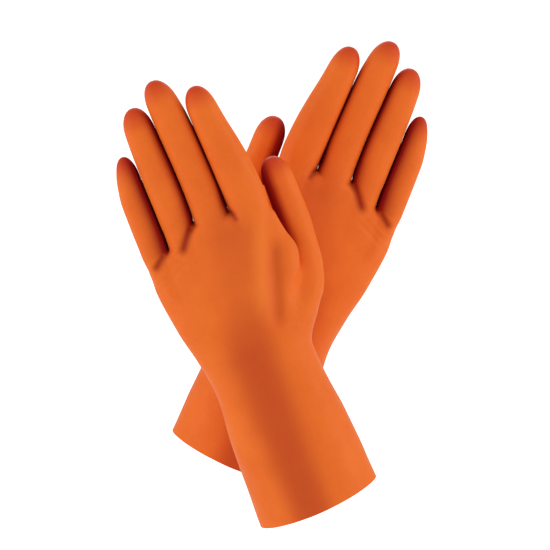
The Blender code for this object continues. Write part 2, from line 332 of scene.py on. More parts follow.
# The stage, in metres: the floor, each light's place, size and power, and the camera.
FLOOR_DROP = 0.22
FLOOR_RADIUS = 14.0
FLOOR_TONES = ((0.93, 0.93, 0.93, 1), (0.95, 0.95, 0.95, 1))
FLOOR_GLOW = 0.55
LIGHTS = {
    "left_softbox": ((-1.2, -0.42, 0.25), (0.6, 1.3), 4.4),
    "right_softbox": ((1.22, -0.30, 0.25), (0.6, 1.3), 4.6),
    "front_fill": ((0.0, -1.9, 0.9), (1.4, 0.8), 1.8),
    "back_fill": ((0.0, 1.8, 0.8), (1.6, 1.0), 6.0),
}
LIT_POINT = Vector((0.0, 0.0, 0.0))
SURROUND_LIGHT = 0.68
SURROUND_SEEN = 1.05
CAMERA_RISE = math.radians(13.0)
CAMERA_LENS = 400.0
CAMERA_TARGET = Vector((0.0011, 0.0, 0.0044))
SENSOR = 36.0
FRAME_WIDTH = 0.3626


# ------------------------------------------------------------------ the implicit glove


def smooth_curves(knots, samples=1500):
    """Smooth curves through a table's columns against its first one, by cubic Hermite pieces."""
    x = knots[:, 0]
    at = np.linspace(x[0], x[-1], samples)
    i = np.clip(np.searchsorted(x, at) - 1, 0, len(x) - 2)
    span = x[i + 1] - x[i]
    t = (at - x[i]) / span
    curves = []
    for y in knots[:, 1:].T:
        slope = np.gradient(y, x)
        rise = y[i] * (1 + 2 * t) * (1 - t) ** 2 + y[i + 1] * t * t * (3 - 2 * t)
        rise += span * (slope[i] * t * (1 - t) ** 2 - slope[i + 1] * t * t * (1 - t))
        curves.append(rise)
    return lambda height: [np.interp(height, at, curve) for curve in curves]


trunk_at = smooth_curves(TRUNK)
crotch_at = smooth_curves(CROTCH_LINE)
digit_curves = {name: smooth_curves(table) for name, table in DIGITS.items()}


def smooth_min(a, b, radius):
    """The nearer of two distances, rounded where they meet."""
    h = np.maximum(radius - np.abs(a - b), 0.0) / radius
    return np.minimum(a, b) - h * h * radius / 4


def smooth_step(x):
    """A smooth rise from 0 to 1 as x goes from 0 to 1."""
    t = np.clip(x, 0.0, 1.0)
    return t * t * (3 - 2 * t)


def oval_distance(across, out, width, depth, fullness, rise=None, dome=1.0):
    """About the distance to a full oval; rise closes its top to a dome of that length."""
    a = np.abs(across) / width
    b = np.abs(out) / depth
    section = np.maximum(a**fullness + b**fullness, 1e-9)
    if rise is None:
        size = section ** (1 / fullness)
        pull = size ** (1 - fullness)
        slope = np.hypot(pull * a ** (fullness - 1) / width, pull * b ** (fullness - 1) / depth)
        return (size - 1) / np.maximum(slope, 0.4 / depth)
    t = np.maximum(rise, 0.0) / dome
    size = (section ** (DOME_FULLNESS / fullness) + t**DOME_FULLNESS) ** (1 / DOME_FULLNESS)
    pull = size ** (1 - DOME_FULLNESS)
    side = pull * section ** (DOME_FULLNESS / fullness - 1)
    slope = np.sqrt(
        (side * a ** (fullness - 1) / width) ** 2
        + (side * b ** (fullness - 1) / depth) ** 2
        + (pull * t ** (DOME_FULLNESS - 1) / dome) ** 2
    )
    return (size - 1) / np.maximum(slope, 0.4 / depth)


def trunk_distance(p):
    """The cuff and the palm, ending at the line of the crotches."""
    u, y, v = p[:, 0], p[:, 1], p[:, 2]
    centre, width, depth = trunk_at(v)
    y = y + HAND_LEAN * (u - centre) * smooth_step((v - LEAN_FROM) / LEAN_LENGTH)
    filled = smooth_step((v - FULLNESS_FROM) / FULLNESS_LENGTH)
    fullness = CUFF_END_FULLNESS + (TRUNK_FULLNESS - CUFF_END_FULLNESS) * filled
    side = oval_distance(u - centre, y, width, depth, fullness)
    top = v - crotch_at(u)[0] - WEB_SLOPE * np.clip(y, -WEB_REACH, WEB_REACH)
    return -smooth_min(-side, -top, CROTCH_JOIN)


def digit_centre(name, v):
    """The middle of a digit at a height, and its half sizes there."""
    return digit_curves[name](v)


def digit_distance(name, p):
    """One stall, running down into the palm."""
    u, y, v = p[:, 0], p[:, 1], p[:, 2]
    across, out, width, depth = digit_centre(name, v)
    rise = v - (TIPS[name] - DOME_LENGTH)
    side = oval_distance(u - across, y - out, width, depth, DIGIT_FULLNESS, rise, DOME_LENGTH)
    if name == "thumb":
        return side
    return -smooth_min(-side, -(DIGITS[name][0, 0] - v), CROTCH_JOIN)


def along_line(u, v, start, end):
    """Distance across a line on the back of the hand, and how far along it a point is."""
    way = np.array(end, float) - np.array(start, float)
    length = np.hypot(*way)
    way /= length
    along = (u - start[0]) * way[0] + (v - start[1]) * way[1]
    across = (u - start[0]) * way[1] - (v - start[1]) * way[0]
    return across, along / length


def crease(u, v, start, end, height, width, left_width=None):
    """A soft ridge (or valley, if height is negative) that dies away at both ends."""
    across, share = along_line(u, v, start, end)
    if left_width is not None:
        width = np.where(across < 0, width, left_width)
    fade = smooth_step(share / CREASE_FADE + CREASE_START)
    fade = fade * smooth_step((1 - share) / CREASE_FADE + CREASE_START)
    return height * np.exp(-((across / width) ** 2)) * fade


def creases(u, v, table):
    """Several ridges and valleys together."""
    return sum(crease(u, v, *row) for row in table)


def relief(p):
    """How far the moulded skin stands proud of its plain form."""
    u, y, v = p[:, 0], p[:, 1], p[:, 2]
    out = SWELL * np.sin(u / 9.0 + v / 17.0) * np.sin(y / 8.0 - v / 13.0 + 1.0)
    out += RIPPLE * np.sin(v / 5.3 + u / 7.1) * np.sin(u / 4.7 - y / 5.0)
    out *= 1.0 - 0.85 * smooth_step((v - 50.0) / 30.0)
    if v.min() > FOLDS_END:
        return out
    back = smooth_step((2.0 - y) / 7.0)
    palm = smooth_step((y - 2.0) / 8.0)
    out += back * creases(u, v, BACK_FOLDS)
    return out + palm * creases(u, v, PALM_LINES)


def finger_join(name, v):
    """How softly a finger runs into the palm: hardly at all between the crotch and the seam."""
    return SEAM_JOIN + (FINGER_JOIN - SEAM_JOIN) * smooth_step((CROTCHES[name] + 2.0 - v) / 6.0)


def thumb_join(v):
    """How softly the thumb runs into the palm: less beside the palm than at its root."""
    return THUMB_BESIDE + (THUMB_JOIN - THUMB_BESIDE) * smooth_step((48.0 - v) / 16.0)


def glove_distance(p):
    """About the distance to the skin of the cuff and the hand, its stalls cut off past their seams."""
    trunk = trunk_distance(p)
    whole = trunk
    for name in DIGITS:
        join = thumb_join(p[:, 2]) if name == "thumb" else finger_join(name, p[:, 2])
        joined = smooth_min(trunk, digit_distance(name, p), join)
        whole = np.minimum(whole, np.maximum(joined, p[:, 2] - seam_height(name) - STUB))
    return whole - relief(p)


def stall_distance(name, p):
    """The same for one stall above its seam, clear of its neighbours."""
    join = finger_join(name, p[:, 2]) if name in FINGERS else THUMB_BESIDE
    return smooth_min(trunk_distance(p), digit_distance(name, p), join) - relief(p)


def gradient(distance, p, step=0.05):
    """The way out of the skin, by central differences."""
    parts = []
    for axis in range(3):
        shift = np.zeros(3)
        shift[axis] = step
        parts.append(distance(p + shift) - distance(p - shift))
    g = np.stack(parts, 1)
    return g / np.maximum(np.linalg.norm(g, axis=1, keepdims=True), 1e-9)


# ------------------------------------------------------------------ meshing the hand


def grid_axes(low, high, step):
    """The grid's places along each axis, closer together in the slots between the stalls."""
    axes = [np.arange(a, b + step, step) for a, b in zip(low, high)]
    for start, end in SLOTS:
        coarse = axes[0][(axes[0] < start) | (axes[0] > end)]
        axes[0] = np.sort(np.concatenate([coarse, np.arange(start, end, FINE_GRID)]))
    return axes


def cell_points(field, axes):
    """A point in each cell that the surface passes through, and each cell's point number."""
    cells = tuple(n - 1 for n in field.shape)
    total = np.zeros(cells + (3,))
    count = np.zeros(cells)

    def values(corner):
        """The field at one corner of every cell."""
        return field[tuple(slice(o, o + n) for o, n in zip(corner, cells))]

    for corner in np.ndindex(2, 2, 2):
        for axis in range(3):
            if corner[axis]:
                continue
            other = corner[:axis] + (1,) + corner[axis + 1:]
            a, b = values(corner), values(other)
            crossing = (a < 0) != (b < 0)
            share = np.where(crossing, a / np.where(crossing, a - b, 1.0), 0.0)
            for k in range(3):
                total[..., k] += crossing * (corner[k] + (share if k == axis else 0.0))
            count += crossing
    active = count > 0
    number = np.full(cells, -1)
    number[active] = np.arange(active.sum())
    place = np.stack(np.nonzero(active), 1) + total[active] / count[active][:, None]
    columns = [np.interp(place[:, k], np.arange(len(axes[k])), axes[k]) for k in range(3)]
    return np.column_stack(columns), number


def cell_quads(inside, number):
    """A quad round each of the grid's edges that the surface crosses, turned outwards."""
    quads = []
    for axis in range(3):
        second, third = (axis + 1) % 3, (axis + 2) % 3
        lower = [slice(None)] * 3
        lower[axis] = slice(0, -1)
        upper = [slice(None)] * 3
        upper[axis] = slice(1, None)
        a, b = inside[tuple(lower)], inside[tuple(upper)]
        for crossed, flip in ((a & ~b, False), (~a & b, True)):
            found = np.stack(np.nonzero(crossed), 1)
            keep = (found[:, second] > 0) & (found[:, third] > 0)
            keep &= found[:, second] < number.shape[second]
            keep &= found[:, third] < number.shape[third]
            found = found[keep]
            around = []
            for back, down in ((-1, -1), (0, -1), (0, 0), (-1, 0)):
                cell = found.copy()
                cell[:, second] += back
                cell[:, third] += down
                around.append(number[cell[:, 0], cell[:, 1], cell[:, 2]])
            quad = np.stack(around, 1)
            quads.append(quad[:, ::-1] if flip else quad)
    return np.concatenate(quads)


def surface_net(distance, low, high, step):
    """Points and quads of the surface where a distance is zero, on a grid."""
    axes = grid_axes(low, high, step)
    grid = np.stack(np.meshgrid(*axes, indexing="ij"), -1)
    parts = np.array_split(grid.reshape(-1, 3), GRID_PARTS)
    field = np.concatenate([distance(part) for part in parts]).reshape(grid.shape[:3])
    points, number = cell_points(field, axes)
    return points, cell_quads(field < 0, number)


def settle(distance, p, rounds=4, flat=False):
    """Moves points onto the surface; flat keeps their height."""
    for _ in range(rounds):
        way = gradient(distance, p)
        if flat:
            way[:, 2] = 0.0
            way /= np.maximum(np.linalg.norm(way, axis=1, keepdims=True), 1e-6)
        p = p - way * np.clip(distance(p), -FARTHEST_MOVE, FARTHEST_MOVE)[:, None]
    return p


def seam_height(name):
    """How high a stall's seam with the hand is."""
    return CROTCHES[name] + CROTCH_RISE


def nearest_part(p):
    """Which of the palm and the digits each point belongs to, by name."""
    names = ["palm"] + list(DIGITS)
    distances = [trunk_distance(p)] + [digit_distance(name, p) for name in DIGITS]
    return np.array(names)[np.argmin(np.stack(distances), 0)]


def nearest_digit(p):
    """Which digit each point belongs to, by name."""
    names = list(DIGITS)
    return np.array(names)[np.argmin(np.stack([digit_distance(name, p) for name in names]), 0)]


def open_chains(faces):
    """The closed chains of a mesh's open edges, as point numbers."""
    edges = {(a, b) for face in faces for a, b in zip(face, face[1:] + face[:1])}
    onward = {a: b for a, b in edges if (b, a) not in edges}
    chains = []
    while onward:
        start, here = onward.popitem()
        chain = [start]
        while here != start:
            chain.append(here)
            here = onward.pop(here)
        chains.append(np.array(chain))
    return chains


def cut_past(bm, faces, height, up):
    """Cuts off what is past a height, of some of the faces, always in the same order."""
    edges = dict.fromkeys(e for f in faces for e in f.edges)
    ends = dict.fromkeys(v for f in faces for v in f.verts)
    bmesh.ops.bisect_plane(
        bm,
        geom=list(ends) + list(edges) + list(faces),
        dist=SEAM_SNAP,
        plane_co=(0, 0, height),
        plane_no=(0, 0, up),
        clear_outer=True,
    )


def cut_seams(bm):
    """Cuts the hand's mesh off at the wrist and at each digit's seam."""
    for name in DIGITS:
        height = seam_height(name)
        faces = [f for f in bm.faces if f.calc_center_median().z > height - 2 * GRID]
        labels = nearest_part(np.array([f.calc_center_median() for f in faces]))
        cut_past(bm, [f for f, label in zip(faces, labels) if label == name], height, 1)
    cut_past(bm, list(bm.faces), WRIST_SEAM, -1)
    loose = [v for v in bm.verts if not v.link_faces]
    bmesh.ops.delete(bm, geom=loose, context="VERTS")


def clean_rims(bm):
    """Puts the open edges at just their seams' heights, and merges points that all but meet."""
    for name in list(DIGITS) + ["wrist"]:
        height = WRIST_SEAM if name == "wrist" else seam_height(name)
        rim = [v for v in bm.verts if v.is_boundary and abs(v.co.z - height) < SEAM_SNAP + 0.01]
        if name != "wrist":
            owners = nearest_digit(np.array([v.co[:] for v in rim]))
            rim = [v for v, owner in zip(rim, owners) if owner == name]
        for v in rim:
            v.co.z = height
        bmesh.ops.remove_doubles(bm, verts=rim, dist=0.2 * GRID)


def settle_rims(points, faces):
    """Moves the open edges onto the skin, and names each one's points in anticlockwise order."""
    loops = {}
    for chain in open_chains(faces):
        edge = settle(glove_distance, points[chain], rounds=5, flat=True)
        points[chain] = edge
        middle = edge.mean(0)
        name = "wrist" if middle[2] < WRIST_SEAM + 1.0 else nearest_digit(middle[None])[0]
        onward = np.roll(edge, -1, axis=0)
        turn = np.sum(edge[:, 0] * onward[:, 1] - edge[:, 1] * onward[:, 0])
        loops[name] = chain if turn > 0 else chain[::-1]
    return loops


def cut_hand():
    """The hand's mesh, open at the wrist and at each digit's seam, with its ordered edges."""
    top = max(seam_height(name) for name in FINGERS) + GRID_MARGIN
    low = (*GRID_LOW, WRIST_SEAM - GRID_MARGIN)
    points, quads = surface_net(glove_distance, low, (*GRID_HIGH, top), GRID)
    points = settle(glove_distance, points)
    bm = bmesh.new()
    verts = [bm.verts.new(p) for p in points]
    for quad in quads:
        bm.faces.new([verts[i] for i in quad])
    cut_seams(bm)
    clean_rims(bm)
    bmesh.ops.triangulate(bm, faces=[f for f in bm.faces if len(f.verts) > 4])
    bm.verts.index_update()
    points = np.array([v.co[:] for v in bm.verts])
    faces = [[v.index for v in f.verts] for f in bm.faces]
    bm.free()
    return points, faces, settle_rims(points, faces)


# ------------------------------------------------------------------ lofting on from its edges


def ray_radius(distance, middle, angle, height, reach):
    """How far out the skin is from a middle point, for each angle at its height."""
    near = np.zeros(len(angle))
    far = np.full(len(angle), reach)
    way = np.stack([np.cos(angle), np.sin(angle)], 1)
    for _ in range(HALVINGS):
        half = (near + far) / 2
        p = np.column_stack([middle + way * half[:, None], height])
        inside = distance(p) < 0
        near = np.where(inside, half, near)
        far = np.where(inside, far, half)
    return (near + far) / 2


def evened(angles, share):
    """The same turn of angles, moved towards even spacing."""
    count = len(angles)
    even = np.arange(count) * math.tau / count
    even = even + np.mean(angles - even)
    return angles + (even - angles) * share


def loft(distance, points, loop, heights, middle_at, reach):
    """Rings of points on the skin at given heights, in step with an edge loop."""
    start = points[loop]
    middle = middle_at(start[:1, 2])
    angles = np.unwrap(np.arctan2(start[:, 1] - middle[0, 1], start[:, 0] - middle[0, 0]))
    rings = []
    for step, height in enumerate(heights):
        turned = evened(angles, smooth_step((step + 1) / EVENING_RINGS))
        level = np.full(len(turned), height)
        centre = middle_at(level)
        radius = ray_radius(distance, centre, turned, level, reach)
        way = np.stack([np.cos(turned), np.sin(turned)], 1)
        rings.append(np.column_stack([centre + way * radius[:, None], level]))
    return rings


def ring_faces(first, second):
    """Quads between two rings of point numbers."""
    return [
        [a, b, d, c]
        for a, b, c, d in zip(first, np.roll(first, -1), second, np.roll(second, -1))
    ]


def steps_between(start, end, size):
    """Heights from after start up to end, about size apart."""
    count = max(2, int(round(abs(end - start) / size)))
    return start + (end - start) * np.arange(1, count + 1) / count


def stall_heights(name):
    """The heights of a stall's rings: even up to its shoulder, then closing over the dome."""
    shoulder = TIPS[name] - DOME_LENGTH
    turn = math.radians(90.0) * np.arange(1, DOME_RINGS) / DOME_RINGS
    straight = steps_between(seam_height(name), shoulder, RING_STEP)
    return np.concatenate([straight, shoulder + DOME_LENGTH * np.sin(turn)])


def stall_middle(name, level):
    """The middle of a stall at each height."""
    across, out, _, _ = digit_centre(name, level)
    return np.column_stack([across, out])


def trunk_middle(level):
    """The middle of the cuff at each height."""
    return np.column_stack([trunk_at(level)[0], level * 0.0])


def stall_label(name, height):
    """The name of a stall's part just below a height."""
    number = int(np.searchsorted(digit_breaks(name), height - 0.01))
    return f"{name}_{number}"


def slanted(points):
    """The points with the cuff's end raised towards the thumb."""
    points = points.copy()
    share = smooth_step((SLANT_FROM - points[:, 2]) / SLANT_LENGTH)
    points[:, 2] += CUFF_SLANT * (points[:, 0] - SLANT_CENTRE) * share
    return points


def build_skin():
    """The whole skin: its points, its faces, a part name for each face, and its normals."""
    points, faces, loops = cut_hand()
    blocks = [points]
    labels = ["hand"] * len(faces)
    normals = [gradient(glove_distance, points)]
    total = len(points)

    def add_rings(rings, distance, first, label_at, flip):
        """Adds rings of points and the faces between them, and returns the last ring."""
        nonlocal total
        previous = first
        for ring in rings:
            numbers = np.arange(total, total + len(ring))
            total += len(ring)
            blocks.append(ring)
            normals.append(gradient(distance, ring))
            made = ring_faces(previous, numbers)
            if flip:
                made = [quad[::-1] for quad in made]
            faces.extend(made)
            labels.extend([label_at(ring[0, 2])] * len(made))
            previous = numbers
        return previous

    for name in DIGITS:
        distance = partial(stall_distance, name)
        heights = stall_heights(name)
        middle_at = partial(stall_middle, name)
        label_at = partial(stall_label, name)
        rings = loft(distance, points, loops[name], heights, middle_at, STALL_REACH)
        last = add_rings(rings, distance, loops[name], label_at, False)
        tip = np.array([TIPS[name]])
        blocks.append(np.column_stack([middle_at(tip), tip]))
        normals.append(np.array([[0.0, 0.0, 1.0]]))
        fan = [[a, b, total] for a, b in zip(last, np.roll(last, -1))]
        faces.extend(fan)
        labels.extend([label_at(TIPS[name])] * len(fan))
        total += 1

    heights = steps_between(WRIST_SEAM, CUFF_END, CUFF_STEP)
    rings = loft(glove_distance, points, loops["wrist"], heights, trunk_middle, CUFF_REACH)
    add_rings(rings, glove_distance, loops["wrist"], lambda height: "cuff", True)
    points = slanted(np.concatenate(blocks))
    return points, faces, np.array(labels), np.concatenate(normals)


# ------------------------------------------------------------------ the frame's joints


def joint(name):
    """The frame's joint of that name."""
    return next(j for j in frame["joints"] if j["name"] == name)


def glove_axes(side):
    """A glove's across, out and up directions, from its wrist joint."""
    across = np.array(joint(f"{side}_wrist")["axis"])
    out = np.array([0.0, 1.0, 0.0])
    return across, out, np.cross(across, out) * SIDES[side]


def to_world(side, p):
    """Points of the glove's own frame, in millimetres, in the row's frame."""
    across, out, up = glove_axes(side)
    wrist = np.array(joint(f"{side}_wrist")["pos_m"]) - up * WRIST_PIVOT * MM
    return wrist + (p[:, :1] * across + p[:, 1:2] * out + p[:, 2:] * up) * MM


def height_of(side, world):
    """How far up the glove a point of the row's frame is, in millimetres."""
    up = glove_axes(side)[2]
    wrist = np.array(joint(f"{side}_wrist")["pos_m"])
    return float((np.array(world) - wrist) @ up) / MM + WRIST_PIVOT


def digit_joints(side, name):
    """A digit's joints, root first."""
    if name == "thumb":
        return [joint(f"{side}_thumb_base_joint"), joint(f"{side}_thumb_tip_joint")]
    return [joint(f"{side}_{name}_{part}") for part in ("knuckle", "middle_joint", "tip_joint")]


def digit_pivots(name):
    """How far up the glove a digit's hinges are."""
    return [height_of("left", j["pos_m"]) for j in digit_joints("left", name)]


def digit_breaks(name):
    """The heights that divide a digit's pieces: halfway between its hinges."""
    pivots = digit_pivots(name)
    return [(a + b) / 2 for a, b in zip(pivots, pivots[1:])]


# ------------------------------------------------------------------ materials


def shader_node(tree, kind, **inputs):
    """A node with some of its inputs set; links are made where a socket is given."""
    node = tree.nodes.new(kind)
    for name, value in inputs.items():
        socket = node.inputs[name]
        if isinstance(value, bpy.types.NodeSocket):
            tree.links.new(value, socket)
        else:
            socket.default_value = value
    return node


def attribute(tree, name, output="Fac"):
    """One of the values that each point of a piece carries."""
    node = tree.nodes.new("ShaderNodeAttribute")
    node.attribute_name = name
    return node.outputs[output]


def noise(tree, where, scale, detail=4.0, roughness=0.5):
    """A cloudy pattern, finer as the scale grows."""
    settings = {"Vector": where, "Scale": scale, "Detail": detail, "Roughness": roughness}
    return shader_node(tree, "ShaderNodeTexNoise", **settings).outputs["Fac"]


def ranged(tree, value, low, high, new_low, new_high):
    """A value's range moved to another, clamped."""
    node = tree.nodes.new("ShaderNodeMapRange")
    for i, item in enumerate((low, high, new_low, new_high)):
        node.inputs[i + 1].default_value = item
    tree.links.new(value, node.inputs[0])
    return node.outputs[0]


def mixed(tree, share, first, second):
    """A colour between two."""
    node = tree.nodes.new("ShaderNodeMix")
    node.data_type = "RGBA"
    for socket, value in ((node.inputs[0], share), (node.inputs[6], first), (node.inputs[7], second)):
        if isinstance(value, bpy.types.NodeSocket):
            tree.links.new(value, socket)
        else:
            socket.default_value = value
    return node.outputs[2]


def bumped(tree, height, strength, distance, normal=None):
    """A surface direction tilted by a height pattern."""
    node = shader_node(tree, "ShaderNodeBump", Strength=strength, Distance=distance, Height=height)
    if normal is not None:
        tree.links.new(normal, node.inputs["Normal"])
    return node.outputs["Normal"]


def new_material(name):
    """A material, its node tree and its surface node."""
    made = bpy.data.materials.new(name)
    made.use_nodes = True
    return made, made.node_tree, made.node_tree.nodes["Principled BSDF"]


def rubber_material():
    """Satin orange latex with cloudy colour, and painted light: painted shade in the narrow gaps, down
    the middle of the back and at the fingertips, where the deeper red is partly the thicker latex, and
    a painted highlight along the back's ridge.
    """
    made, tree, surface = new_material("orange_latex")
    rest = attribute(tree, "rest", "Vector")
    cloud = ranged(tree, noise(tree, rest, 0.045, 3.0), 0.35, 0.68, 0.0, 1.0)
    colour = mixed(tree, cloud, ORANGE, CLOUDED_ORANGE)
    fine = ranged(tree, noise(tree, rest, 0.55, 6.0, 0.65), 0.42, 0.66, 0.0, 0.3)
    colour = mixed(tree, fine, colour, SPECKLED_ORANGE)
    # Painted highlight along the back's ridge.
    highlight = ranged(tree, attribute(tree, "ridge_highlight"), 0.0, 1.0, 0.0, 0.6)
    colour = mixed(tree, highlight, colour, HIGHLIGHT_ORANGE)
    # Painted shade down the middle of the back and in its valley.
    colour = mixed(tree, attribute(tree, "shade_band"), colour, SHADE_ORANGE)
    # Deeper red at the fingertips: partly painted shade, partly the thicker latex there.
    tip_red_and_shade = ranged(tree, attribute(tree, "tip_red_and_shade"), 0.0, 1.0, 0.0, 0.85)
    colour = mixed(tree, tip_red_and_shade, colour, TIP_RED_AND_SHADE)
    # Painted shade in the narrow gaps: maroon, then black where it is deepest.
    gap_shade = attribute(tree, "gap_shade")
    colour = mixed(tree, ranged(tree, gap_shade, 0.0, 0.65, 0.0, 1.0), colour, GAP_SHADE_MAROON)
    colour = mixed(tree, ranged(tree, gap_shade, 0.76, 1.0, 0.0, 1.0), colour, GAP_SHADE_BLACK)
    tree.links.new(colour, surface.inputs["Base Color"])
    sheen = ranged(tree, noise(tree, rest, 0.12, 4.0), 0.3, 0.7, 0.40, 0.54)
    tree.links.new(sheen, surface.inputs["Roughness"])
    # Less specular where the painted gap shade lies, so that it stays dark.
    tree.links.new(ranged(tree, gap_shade, 0.0, 0.8, 0.13, 0.0), surface.inputs["Specular IOR Level"])
    surface.inputs["Subsurface Weight"].default_value = 0.12
    surface.inputs["Subsurface Radius"].default_value = (1.0, 0.25, 0.08)
    surface.inputs["Subsurface Scale"].default_value = 2.5 * MM
    grain = noise(tree, rest, 2.4, 5.0, 0.6)
    dimple = noise(tree, rest, 0.28, 2.0, 0.5)
    soft = bumped(tree, dimple, 0.35, 0.35 * MM)
    tree.links.new(bumped(tree, grain, 0.25, 0.10 * MM, soft), surface.inputs["Normal"])
    return made


def flock_material():
    """Short cotton flock: pale, matt and fuzzy, thinner where the orange shows through."""
    made, tree, surface = new_material("cotton_flock")
    rest = attribute(tree, "rest", "Vector")
    patch = ranged(tree, noise(tree, rest, 0.16, 5.0, 0.6), 0.4, 0.7, 0.0, 0.55)
    colour = mixed(tree, patch, FLOCK_CREAM, FLOCK_THIN)
    fibre = noise(tree, rest, 3.2, 8.0, 0.75)
    colour = mixed(tree, ranged(tree, fibre, 0.4, 0.7, 0.0, 0.5), colour, FLOCK_FIBRE)
    tree.links.new(colour, surface.inputs["Base Color"])
    surface.inputs["Roughness"].default_value = 0.95
    surface.inputs["Specular IOR Level"].default_value = 0.1
    surface.inputs["Sheen Weight"].default_value = 0.5
    surface.inputs["Sheen Roughness"].default_value = 0.6
    tree.links.new(bumped(tree, fibre, 0.8, 0.3 * MM), surface.inputs["Normal"])
    return made


# ------------------------------------------------------------------ pieces


def tip_red_and_shade_of(points):
    """How red each point is at the fingertips, most of all at their ends: partly painted shade, partly
    the thicker latex there.
    """
    tip_red_and_shade = np.zeros(len(points))
    for name in DIGITS:
        tip = TIPS[name]
        near = digit_distance(name, points) < 2.0
        rise = smooth_step((points[:, 2] - (tip - WARM_BELOW_TIP)) / WARM_LENGTH)
        tip_red_and_shade = np.where(near, np.maximum(tip_red_and_shade, rise), tip_red_and_shade)
    return tip_red_and_shade


def gap_shade_of(points):
    """How much painted shade each point gets: from the neighbour that lies in front of it, on the
    thumb's inner side, and along the trails below the gaps.
    """
    u, y, v = points.T
    part = nearest_part(points)
    shade = np.zeros(len(points))
    # Painted shade on each finger's side next to the neighbour in front of it.
    for name, (neighbour, reach) in SHADED_BY.items():
        away = np.maximum(digit_distance(neighbour, points), 0.0)
        reach = reach + 1.8 * smooth_step((CROTCHES[name] + 24.0 - v) / 18.0)
        close = np.exp(-((away / reach) ** 1.5)) * smooth_step((v - CROTCHES[name] + 3.0) / 6.0)
        shade = np.where(part == name, np.maximum(shade, close), shade)
    centre, out, width, depth = digit_centre("thumb", v)
    # Painted shade on the thumb's inner side, where the palm's edge shades it.
    inner = smooth_step((centre - u) / width * 1.1 + 0.05) * smooth_step((v - 47.0) / 8.0)
    inner *= smooth_step((out + 7.0 - y) / 8.0)
    shade = np.where(part == "thumb", THUMB_SHADE * inner, shade)
    # Painted shade trails that run down the back from the gaps.
    back = smooth_step((4.0 - y) / 7.0)
    return np.clip(np.maximum(shade, back * creases(u, v, GAP_SHADE_TRAILS)), 0.0, 1.0)


def shade_band_of(points):
    """How much painted shade each point gets down the middle of the back, between the brighter flanks,
    and in the back's valley.
    """
    u, y, v = points.T
    centre, reach, strength = [np.interp(v, SHADE_BAND[:, 0], column) for column in SHADE_BAND[:, 1:].T]
    shade_band = np.exp(-(np.abs((u - centre) / reach) ** 3.0)) * strength
    # Painted shade along the back's valley.
    hollow = crease(u, v, *SHADED_HOLLOW)
    return np.clip(np.maximum(shade_band, hollow) * smooth_step((6.0 - y) / 8.0), 0.0, 1.0)


def ridge_highlight_of(points):
    """How much painted highlight each point gets, most of all along the back's ridge."""
    u, y, v = points.T
    ridge = crease(u, v, *HIGHLIGHT_RIDGE)
    return np.clip(ridge * smooth_step((2.0 - y) / 7.0), 0.0, 1.0)


def wall_faces(outer, count):
    """The faces behind the outer ones, and the rim that joins the two round the open edges."""
    edges = dict.fromkeys((a, b) for face in outer for a, b in zip(face, face[1:] + face[:1]))
    inner = [[i + count for i in reversed(face)] for face in outer]
    rim = [[b, a, a + count, b + count] for a, b in edges if (b, a) not in edges]
    return inner, rim


def set_normals(mesh, faces, rim_count, per_point):
    """Smooth shading that follows the skin's own normals, with a flat rim."""
    corners = per_point[np.array([i for face in faces for i in face])]
    mesh.update()
    rim_start = len(faces) - rim_count
    flat = np.array([p.normal[:] for p in mesh.polygons[rim_start:]]).reshape(-1, 3)
    corners[len(corners) - 4 * rim_count:] = np.repeat(flat, 4, axis=0)
    mesh.polygons.foreach_set("use_smooth", [True] * len(faces))
    mesh.normals_split_custom_set(corners.tolist())


def make_piece(name, side, skin, chosen, outer_depth, inner_depth, paints):
    """One closed piece of a glove's wall: some of the skin's faces, between two depths."""
    points, faces, normals, tints = skin
    picked = [faces[i] for i in chosen]
    used = np.unique(np.concatenate(picked))
    number = np.full(len(points), -1)
    number[used] = np.arange(len(used))
    outer = [[int(number[i]) for i in face] for face in picked]
    inner, rim = wall_faces(outer, len(used))
    made = outer + inner + rim
    if SIDES[side] < 0:
        made = [face[::-1] for face in made]
    rest, out = points[used], normals[used]
    both = np.concatenate([rest - out * outer_depth, rest - out * inner_depth])
    mesh = bpy.data.meshes.new(name)
    mesh.from_pydata(to_world(side, both).tolist(), [], made)
    for paint in paints:
        mesh.materials.append(paint)
    slots = [0] * len(outer) + [len(paints) - 1] * len(inner) + [0] * len(rim)
    mesh.polygons.foreach_set("material_index", slots)
    across, straight, up = glove_axes(side)
    world_out = out[:, :1] * across + out[:, 1:2] * straight + out[:, 2:] * up
    set_normals(mesh, made, len(rim), np.concatenate([world_out, -world_out]))
    for label, values in tints.items():
        data = mesh.attributes.new(label, "FLOAT", "POINT").data
        data.foreach_set("value", np.tile(values[used], 2).astype(np.float32))
    data = mesh.attributes.new("rest", "FLOAT_VECTOR", "POINT").data
    data.foreach_set("vector", np.tile(rest, (2, 1)).astype(np.float32).ravel())
    piece = bpy.data.objects.new(name, mesh)
    bpy.context.scene.collection.objects.link(piece)
    return piece


def zone(name, number):
    """The heights about a stall's hinge that bound its crease."""
    pivot = digit_pivots(name)[number]
    edges = [seam_height(name)] + digit_breaks(name) + [TIPS[name] - ZONE_BELOW_TIP]
    half = min(pivot - edges[number], edges[number + 1] - pivot) - ZONE_MARGIN
    return pivot - half, pivot + half


def blend_digit(piece, side, name, number):
    """Bakes a stall piece's placement into its mesh; the heights of its crease are worked out but not
    used.
    """
    for height in zone(name, number):
        level = np.array([height])
        to_world(side, np.column_stack([stall_middle(name, level), level]))[0]
    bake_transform(piece)


def blend_wrist(piece):
    """Bakes a cuff piece's placement into its mesh."""
    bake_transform(piece)


